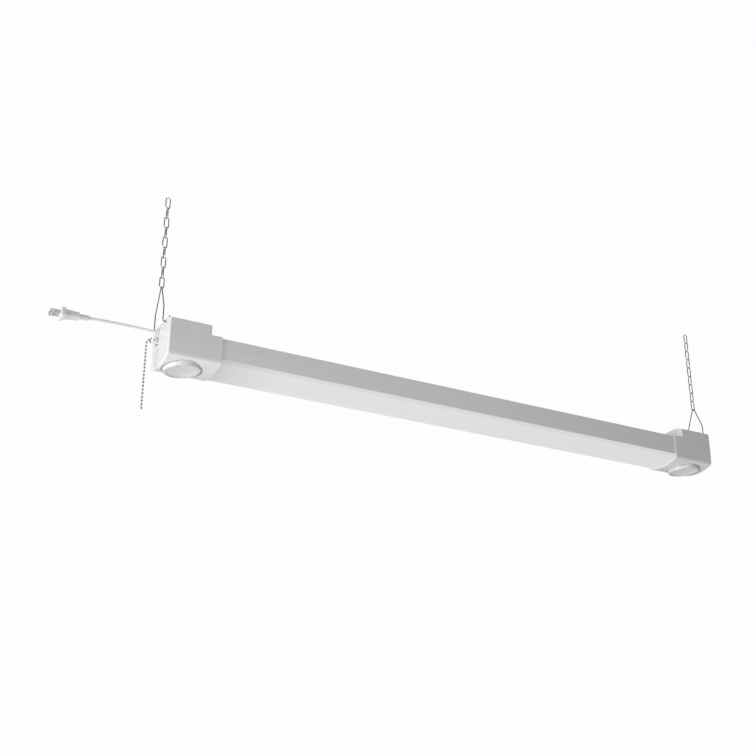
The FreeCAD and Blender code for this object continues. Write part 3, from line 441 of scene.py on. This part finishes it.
MAKERS = [
    cap_plastic, channel_enamel, frosted_lens_painted_glow, frosted_spot_painted_glow, spot_enamel, cord_jacket, plug_plastic,
    nickel, hook_wire, polished_nickel, bead_nickel, zinc_steel, plain_aluminium, bright_reflector,
    blade_metal, grey_sheet, board_white, board_green, chip_yellow, part_black, wire_black,
    connector_nylon, copper_winding, floor_paint,
]
FINISHES = {maker.__name__: maker() for maker in MAKERS}
print(len(FINISHES), "finishes")

# %% [markdown]
# Each piece of the frame now takes its finish. A name's last words say what the piece is, so
# one small table dresses both ends of the lamp.

# %% Dress the frame's pieces
DRESS = {
    "ceiling_link": "nickel",
    "second_link": "nickel",
    "_chain": "nickel",
    "v_hook": "hook_wire",
    "end_cap": "cap_plastic",
    "hang_pins": "zinc_steel",
    "cap_screws": "zinc_steel",
    "housing_channel": "channel_enamel",
    "lens_diffuser": "frosted_lens_painted_glow",
    "light_tray": "plain_aluminium",
    "light_strip": "board_white",
    "light_chips": "chip_yellow",
    "driver_case": "grey_sheet",
    "driver_lid": "grey_sheet",
    "driver_board": "board_green",
    "driver_transformer": "part_black",
    "driver_capacitors": "part_black",
    "driver_choke": "copper_winding",
    "lamp_wires": "wire_black",
    "wire_connectors": "connector_nylon",
    "spot_ring": "spot_enamel",
    "spot_retainer": "zinc_steel",
    "spot_head": "spot_enamel",
    "spot_pins": "zinc_steel",
    "spot_lens": "frosted_spot_painted_glow",
    "spot_reflector": "bright_reflector",
    "spot_board": "plain_aluminium",
    "spot_sink": "plain_aluminium",
    "switch_case": "part_black",
    "switch_drum": "part_black",
    "switch_nipple": "polished_nickel",
    "switch_nut": "polished_nickel",
    "switch_bell": "polished_nickel",
    "pull_lead": "bead_nickel",
    "swivel_bead": "bead_nickel",
    "bead_chain": "bead_nickel",
    "chain_end_drop": "nickel",
    "cord_bushing": "cord_jacket",
    "cord": "cord_jacket",
    "plug_relief": "plug_plastic",
    "plug_body": "plug_plastic",
    "_blade": "blade_metal",
}


def finish_for(name):
    """The finish whose key ends the name, the longest key first."""
    for ending in sorted(DRESS, key=len, reverse=True):
        if name.endswith(ending):
            return FINISHES[DRESS[ending]]
    raise KeyError(name)


def dress(thing, material):
    """One finish on the whole of a piece."""
    thing.data.materials.clear()
    thing.data.materials.append(material)
    return thing


for name, node in nodes.items():
    dress(node, finish_for(name))
dress(floor, FINISHES["floor_paint"])
print("dressed", len(nodes), "pieces")

# %% [markdown]
# ## Recipes
# Links, beads, ribs and screws repeat. Each kind is written once as a Geometry Nodes tree with named
# sizes, and every place where it is needed runs the same tree with its own numbers. The result is
# kept as a plain mesh, so that nothing depends on a modifier when the lamp is posed.

# %% A recipe of geometry nodes
SHARP_ANGLE = math.radians(40)


class Recipe:
    """A Geometry Nodes tree with named sizes. It ends in Realize Instances and Set Material."""

    def __init__(self, name, **sizes):
        self.tree = bpy.data.node_groups.new(name, "GeometryNodeTree")
        face = self.tree.interface
        face.new_socket(name="Geometry", in_out="OUTPUT", socket_type="NodeSocketGeometry")
        for size, kind in sizes.items():
            face.new_socket(name=size, in_out="INPUT", socket_type="NodeSocket" + kind)
        face.new_socket(name="material", in_out="INPUT", socket_type="NodeSocketMaterial")
        self.sizes = self.tree.nodes.new("NodeGroupInput").outputs

    def __getitem__(self, size):
        return self.sizes[size]

    def add(self, kind, feeds=None, **settings):
        """One node. Its feeds are other nodes' outputs or plain values. Gives its first output."""
        node = self.tree.nodes.new(kind)
        for name, setting in settings.items():
            setattr(node, name, setting)
        for socket, feed in (feeds or {}).items():
            for one in feed if isinstance(feed, list) else [feed]:
                if isinstance(one, bpy.types.NodeSocket):
                    self.tree.links.new(one, node.inputs[socket])
                else:
                    node.inputs[socket].default_value = one
        return node.outputs[0]

    def work_out(self, operation, first, second=0.0):
        """A calculation on one or two numbers, each a value or another node's output."""
        return self.add("ShaderNodeMath", {0: first, 1: second}, operation=operation)

    def times(self, first, second):
        """A product, such as a share of a size."""
        return self.work_out("MULTIPLY", first, second)

    def upright(self, height):
        """A vector along +Z."""
        return self.add("ShaderNodeCombineXYZ", {"Z": height})

    def place(self, shape, **moves):
        """A shape that is scaled, turned and moved."""
        feeds = {name.capitalize(): move for name, move in moves.items()}
        return self.add("GeometryNodeTransform", {"Geometry": shape, **feeds})

    def tube(self, curve, radius, sides, fill=True, swell=1.0):
        """A round tube along a curve, its radius multiplied by the swell at each point."""
        ring = self.add("GeometryNodeCurvePrimitiveCircle", {"Resolution": sides, "Radius": radius})
        return self.add("GeometryNodeCurveToMesh", {
            "Curve": curve, "Profile Curve": ring, "Fill Caps": fill, "Scale": swell})

    def finish(self, shape):
        """Realize Instances, Set Material and the tree's output."""
        plain = self.add("GeometryNodeRealizeInstances", {"Geometry": shape})
        painted = self.add("GeometryNodeSetMaterial", {"Geometry": plain, "Material": self["material"]})
        self.tree.links.new(painted, self.tree.nodes.new("NodeGroupOutput").inputs[0])
        return self


def run_recipe(name, recipe, finish, **sizes):
    """A recipe's result as a plain mesh object at the origin."""
    piece = bpy.data.objects.new(name, bpy.data.meshes.new(name))
    bpy.context.scene.collection.objects.link(piece)
    modifier = piece.modifiers.new("recipe", "NODES")
    modifier.node_group = recipe.tree
    sockets = {item.name: item.identifier for item in recipe.tree.interface.items_tree}
    for size, value in {**sizes, "material": FINISHES[finish]}.items():
        modifier[sockets[size]] = value
    ready = piece.evaluated_get(bpy.context.evaluated_depsgraph_get())
    mesh = bpy.data.meshes.new_from_object(ready)
    piece.modifiers.clear()
    piece.data = mesh
    mesh.shade_smooth()
    mesh.set_sharp_from_angle(angle=SHARP_ANGLE)
    return piece


def settle(piece, body, slot, *stands_for):
    """A finished piece's body and the nodes that it stands for. The slot is not used."""
    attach(piece, body)
    if stands_for:
        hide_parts(*stands_for)
    print(piece.name, "on", body)
    return piece


# %% [markdown]
# ## Chain links
# A link is a piece of nickel-plated wire, bent to an oval and butt welded near the middle of one
# side, where the weld stands a little proud. The recipe rounds a rectangle until its ends are half
# circles, swells the wire at the weld, and turns every second link by a quarter.

# %% Chain links
QUARTER_TURN = math.pi / 2
LINK_WIRE = 2 * MM
LINK_WIDTH = 9.7 * MM
LINK_PITCH = 20 * MM
LINK_STEPS = 60
LINK_END_STEPS = 10
WIRE_SIDES = 14
LOWER_LINKS = 7
WELD_AT = 0.32
WELD_REACH = 0.022
WELD_SWELL = 1.16


def chain_recipe():
    recipe = Recipe("chain", count="Int", first="Vector", length="Float", turn="Float")
    across = LINK_WIDTH - LINK_WIRE
    outline = recipe.add("GeometryNodeCurvePrimitiveQuadrilateral", {
        "Width": across, "Height": recipe.work_out("SUBTRACT", recipe["length"], LINK_WIRE)})
    oval = recipe.add("GeometryNodeFilletCurve", {
        "Curve": outline, "Radius": across / 2, "Limit Radius": True, "Count": LINK_END_STEPS},
        mode="POLY")
    even = recipe.add("GeometryNodeResampleCurve", {"Curve": oval, "Count": LINK_STEPS}, mode="COUNT")
    along = recipe.add("GeometryNodeSplineParameter")
    from_weld = recipe.work_out("ABSOLUTE", recipe.work_out("SUBTRACT", along, WELD_AT))
    swell = recipe.add("ShaderNodeMapRange", {
        "Value": from_weld, "From Min": 0.0, "From Max": WELD_REACH, "To Min": WELD_SWELL,
        "To Max": 1.0}, interpolation_type="SMOOTHSTEP")
    wire = recipe.tube(even, LINK_WIRE / 2, WIRE_SIDES, fill=False, swell=swell)
    link = recipe.place(wire, rotation=(QUARTER_TURN, 0, 0))
    line = recipe.add("GeometryNodeMeshLine", {
        "Count": recipe["count"], "Start Location": recipe["first"], "Offset": (0, 0, -LINK_PITCH)},
        mode="OFFSET")
    odd = recipe.work_out("MODULO", recipe.add("GeometryNodeInputIndex"), 2.0)
    turn = recipe.upright(recipe.work_out("ADD", recipe.times(odd, QUARTER_TURN), recipe["turn"]))
    links = recipe.add("GeometryNodeInstanceOnPoints", {
        "Points": line, "Instance": link, "Rotation": turn})
    return recipe.finish(links)


def hang_links(recipe):
    """The ceiling link, the second link and the rest of the chain, on both sides."""
    low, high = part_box("left_ceiling_link")
    length = (high - low).z
    for side in SIDES:
        parts = {
            "ceiling_link": ("ceiling_links", 1, 0.0),
            "second_link": ("second_links", 1, QUARTER_TURN),
            "chain": (side + "_hanger", LOWER_LINKS, 0.0),
        }
        for part, (body, count, turn) in parts.items():
            node = "%s_%s" % (side, part)
            low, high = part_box(node)
            top = Vector(((low.x + high.x) / 2, 0, high.z - length / 2))
            links = run_recipe(node + "_links", recipe, "nickel", count=count, first=top,
                               length=length, turn=turn)
            settle(links, body, "nickel", node)


hang_links(chain_recipe())

# %% [markdown]
# ## The bead chain
# A bead is rolled from thin sheet round the dumbbell ends of short wires, so it has a small lip
# where each wire leaves it. The same recipe makes the lead that comes out of the switch, the
# bead that swivels below it and the chain that hangs.

# %% Beads
BEAD = 3.8 * MM
BEAD_PITCH = 6.7 * MM
BEAD_WIRE = 0.6 * MM
BEAD_GAP = 0.3 * MM
BEAD_COUNT = 16
BEAD_SEGMENTS = 20
BEAD_RINGS = 12
BEAD_WIRE_SIDES = 10
LIP_WIDTH = 1.3 * MM
LIP_PROUD = 1.06
LIP_SIDES = 14


def bead_recipe():
    recipe = Recipe("beads", count="Int", first="Vector", step="Vector", wire_from="Vector",
                    wire_to="Vector")
    ball = recipe.add("GeometryNodeMeshUVSphere", {
        "Segments": BEAD_SEGMENTS, "Rings": BEAD_RINGS, "Radius": BEAD / 2})
    lip = recipe.add("GeometryNodeMeshCylinder", {
        "Vertices": LIP_SIDES, "Radius": LIP_WIDTH / 2, "Depth": BEAD * LIP_PROUD})
    bead = recipe.add("GeometryNodeJoinGeometry", {"Geometry": [ball, lip]})
    line = recipe.add("GeometryNodeMeshLine", {
        "Count": recipe["count"], "Start Location": recipe["first"], "Offset": recipe["step"]},
        mode="OFFSET")
    along = recipe.add("FunctionNodeAlignRotationToVector", {"Vector": recipe["step"]}, axis="Z")
    beads = recipe.add("GeometryNodeInstanceOnPoints", {
        "Points": line, "Instance": bead, "Rotation": along})
    run = recipe.add("GeometryNodeCurvePrimitiveLine", {
        "Start": recipe["wire_from"], "End": recipe["wire_to"]}, mode="POINTS")
    wire = recipe.tube(run, BEAD_WIRE / 2, BEAD_WIRE_SIDES)
    return recipe.finish(recipe.add("GeometryNodeJoinGeometry", {"Geometry": [beads, wire]}))


def string_beads(recipe):
    """The lead, the swivel bead and the hanging chain, each on its own body."""
    low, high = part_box("pull_lead")
    half = BEAD / 2
    y = (low.y + high.y) / 2
    inner = Vector((high.x - half, y, high.z - half))
    outer = Vector((low.x + half, y, low.z + half))
    lead = run_recipe("lead_beads", recipe, "bead_nickel", count=2, first=inner, step=outer - inner,
                      wire_from=inner, wire_to=outer)
    settle(lead, "pull_lead", "nickel", "pull_lead")
    step = Vector((0, 0, -BEAD_PITCH))
    swivel = outer + step
    up = swivel - step * ((BEAD_PITCH - half - BEAD_GAP) / BEAD_PITCH)
    one = run_recipe("swivel_beads", recipe, "bead_nickel", count=1, first=swivel, step=step,
                     wire_from=swivel, wire_to=up)
    settle(one, "swivel_bead", "nickel", "swivel_bead")
    top = swivel - Vector((0, 0, half + BEAD_GAP))
    bottom = Vector((swivel.x, y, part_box("chain_end_drop")[1].z))
    hanging = run_recipe("hanging_beads", recipe, "bead_nickel", count=BEAD_COUNT, first=swivel + step,
                         step=step, wire_from=top, wire_to=bottom)
    settle(hanging, "bead_chain", "nickel", "bead_chain")


string_beads(bead_recipe())

# %% [markdown]
# ## Screws
# Each collar is held by two pan-head screws. The head is a low dome with a cross driven into it.
# The recipe takes a squashed sphere, cuts two crossed slots out of it, and sets the screw on the
# four corners of a grid. The slots' sizes and height are shares of the head's.

# %% Screws
SCREW_HEAD = 6 * MM
SCREW_RISE = 2 * MM
SCREW_SHANK = 3 * MM
SCREW_LENGTH = 8 * MM
HEAD_SEGMENTS = 28
HEAD_RINGS = 16
SHANK_SIDES = 18
SLOT_LENGTH = 0.56
SLOT_WIDTH = 0.13
SLOT_MIDDLE = 0.95


def screw_recipe():
    recipe = Recipe("screws", apart_x="Float", apart_y="Float", centre="Vector", head="Float",
                    rise="Float", shank="Float", length="Float")
    head, rise = recipe["head"], recipe["rise"]
    half = recipe.times(head, 0.5)
    ball = recipe.add("GeometryNodeMeshUVSphere", {
        "Segments": HEAD_SEGMENTS, "Rings": HEAD_RINGS, "Radius": 1.0})
    size = recipe.add("ShaderNodeCombineXYZ", {"X": half, "Y": half, "Z": rise})
    dome = recipe.place(ball, scale=size)
    size = recipe.add("ShaderNodeCombineXYZ", {
        "X": recipe.times(head, SLOT_LENGTH), "Y": recipe.times(head, SLOT_WIDTH), "Z": rise})
    slot = recipe.add("GeometryNodeMeshCube", {"Size": size})
    high = recipe.upright(recipe.times(rise, SLOT_MIDDLE))
    cross = [recipe.place(slot, translation=high, rotation=(0, 0, turn)) for turn in (0, QUARTER_TURN)]
    driven = recipe.add("GeometryNodeMeshBoolean", {"Mesh 1": dome, "Mesh 2": cross},
                        operation="DIFFERENCE")
    rod = recipe.add("GeometryNodeMeshCylinder", {
        "Vertices": SHANK_SIDES, "Radius": recipe.times(recipe["shank"], 0.5),
        "Depth": recipe["length"]})
    shank = recipe.place(rod, translation=recipe.upright(recipe.times(recipe["length"], -0.5)))
    screw = recipe.add("GeometryNodeJoinGeometry", {"Geometry": [driven, shank]})
    corners = recipe.add("GeometryNodeMeshGrid", {
        "Size X": recipe["apart_x"], "Size Y": recipe["apart_y"], "Vertices X": 2, "Vertices Y": 2})
    spread = recipe.place(corners, translation=recipe["centre"])
    screws = recipe.add("GeometryNodeInstanceOnPoints", {"Points": spread, "Instance": screw})
    return recipe.finish(screws)


def drive_screws(recipe):
    """The four collar screws."""
    low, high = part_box("cap_screws")
    apart = high - low - Vector((SCREW_HEAD, SCREW_HEAD, 0))
    middle = Vector((0, 0, high.z - SCREW_RISE))
    screws = run_recipe("collar_screws", recipe, "zinc_steel", apart_x=apart.x, apart_y=apart.y,
                        centre=middle, head=SCREW_HEAD, rise=SCREW_RISE, shank=SCREW_SHANK,
                        length=SCREW_LENGTH)
    settle(screws, "lamp", "steel", "cap_screws")


drive_screws(screw_recipe())

# %% [markdown]
# ## Lens clamps
# Three small screws at the edge of each spot's mouth clamp its lens. Their heads look down, each
# with one slot. The recipe sets them on a circle and tilts the circle with the spot's head.

# %% Lens clamps
SPOT_INSET = 41 * MM
SPOT_PIVOT = 1 * MM
SPOT_TILT = math.radians(-5)
RIM_DROP = 11.6 * MM
CLAMP_COUNT = 3
CLAMP_CIRCLE = 28.3 * MM
CLAMP_HEAD = 2.8 * MM
CLAMP_RISE = 0.7 * MM
CLAMP_START = math.radians(-6)
CLAMP_SEGMENTS = 18
CLAMP_RINGS = 10
NOTCH_WIDTH = 0.16
NOTCH_TURN = math.radians(35)


def clamp_recipe():
    recipe = Recipe("clamps", count="Int", pivot="Vector", tilt="Vector")
    circle = recipe.add("GeometryNodeMeshCircle", {"Vertices": recipe["count"], "Radius": CLAMP_CIRCLE})
    ring = recipe.place(circle, rotation=(0, 0, CLAMP_START), translation=(0, 0, -RIM_DROP))
    ball = recipe.add("GeometryNodeMeshUVSphere", {
        "Segments": CLAMP_SEGMENTS, "Rings": CLAMP_RINGS, "Radius": 1.0})
    dome = recipe.place(ball, scale=(CLAMP_HEAD / 2, CLAMP_HEAD / 2, CLAMP_RISE))
    slot = recipe.add("GeometryNodeMeshCube", {
        "Size": (CLAMP_HEAD, CLAMP_HEAD * NOTCH_WIDTH, CLAMP_RISE)})
    notch = recipe.place(slot, translation=(0, 0, -CLAMP_RISE), rotation=(0, 0, NOTCH_TURN))
    head = recipe.add("GeometryNodeMeshBoolean", {"Mesh 1": dome, "Mesh 2": notch},
                      operation="DIFFERENCE")
    heads = recipe.add("GeometryNodeInstanceOnPoints", {"Points": ring, "Instance": head})
    return recipe.finish(recipe.place(heads, rotation=recipe["tilt"], translation=recipe["pivot"]))


def clamp_lenses(recipe):
    """Three clamps on each spot's head."""
    for side, way in SIDES.items():
        low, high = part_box(side + "_end_cap")
        end = low.x if way < 0 else high.x
        pivot = Vector((end - way * SPOT_INSET, 0, LAMP_Z + SPOT_PIVOT))
        clamps = run_recipe(side + "_lens_clamps", recipe, "zinc_steel", count=CLAMP_COUNT,
                            pivot=pivot, tilt=(0, SPOT_TILT, 0))
        settle(clamps, side + "_spot_head", "ring_metal")


clamp_lenses(clamp_recipe())

# %% [markdown]
# ## The cord and its plug
# The cord is a short round lead with a smooth jacket. It leaves the cap through a bushing, runs
# almost straight and ends in a moulded plug with a ribbed strain relief. The cord is one NURBS
# curve with a round bevel, on the same points as the solid in the frame.

# %% Cord
CORD_DIAMETER = 5 * MM
CORD_ROUTE = [
    Vector((-0.594, 0.0115, LAMP_Z + 0.0592)),
    Vector((-0.640, 0.0115, LAMP_Z + 0.0594)),
    Vector((-0.688, 0.0115, LAMP_Z + 0.0594)),
    Vector((-0.7225, 0.0115, LAMP_Z + 0.0579)),
]


def make_cord():
    """The cord as one smooth NURBS spline."""
    curve = bpy.data.curves.new("short_cord", "CURVE")
    curve.dimensions = "3D"
    curve.resolution_u = 16
    curve.bevel_depth = CORD_DIAMETER / 2
    curve.bevel_resolution = 8
    curve.use_fill_caps = True
    spline = curve.splines.new("NURBS")
    spline.points.add(len(CORD_ROUTE) - 1)
    for point, place in zip(spline.points, CORD_ROUTE):
        point.co = (*place, 1)
    spline.order_u = 3
    spline.use_endpoint_u = True
    cord = bpy.data.objects.new("short_cord", curve)
    bpy.context.scene.collection.objects.link(cord)
    return dress(cord, FINISHES["cord_jacket"])


short_cord = settle(make_cord(), "lamp", "cord_jacket", "cord")

# %% [markdown]
# The relief keeps the cord from being bent sharply at the plug, and its grooves let it flex. The
# recipe sweeps a ring along a line, and the ring's radius rises slowly and dips once for each
# groove.

# %% Strain relief
RELIEF_LENGTH = 18 * MM
RELIEF_NARROW = 4.7 * MM
RELIEF_WIDE = 5.0 * MM
RELIEF_GROOVE = 1.2 * MM
RELIEF_RIBS = 5
RELIEF_STEPS = 120
RELIEF_SIDES = 36
GROOVE_EDGE = 0.25


def relief_recipe():
    recipe = Recipe("relief", start="Vector", end="Vector", ribs="Float")
    run = recipe.add("GeometryNodeCurvePrimitiveLine", {"Start": recipe["start"], "End": recipe["end"]},
                     mode="POINTS")
    fine = recipe.add("GeometryNodeResampleCurve", {"Curve": run, "Count": RELIEF_STEPS}, mode="COUNT")
    along = recipe.add("GeometryNodeSplineParameter")
    taper = recipe.add("ShaderNodeMapRange", {
        "Value": along, "To Min": RELIEF_NARROW, "To Max": RELIEF_WIDE})
    wave = recipe.work_out("SINE", recipe.times(recipe.times(along, recipe["ribs"]), 2 * math.pi))
    groove = recipe.add("ShaderNodeMapRange", {
        "Value": wave, "From Min": -GROOVE_EDGE, "From Max": GROOVE_EDGE, "To Min": 0.0,
        "To Max": RELIEF_GROOVE}, interpolation_type="SMOOTHSTEP")
    radius = recipe.work_out("SUBTRACT", taper, groove)
    return recipe.finish(recipe.tube(fine, 1.0, RELIEF_SIDES, swell=radius))


along_plug = (CORD_ROUTE[-1] - CORD_ROUTE[-2]).normalized()
relief = run_recipe("ribbed_relief", relief_recipe(), "plug_plastic", start=CORD_ROUTE[-1],
                    end=CORD_ROUTE[-1] + along_plug * RELIEF_LENGTH, ribs=float(RELIEF_RIBS))
settle(relief, "lamp", "plug_plastic", "plug_relief")
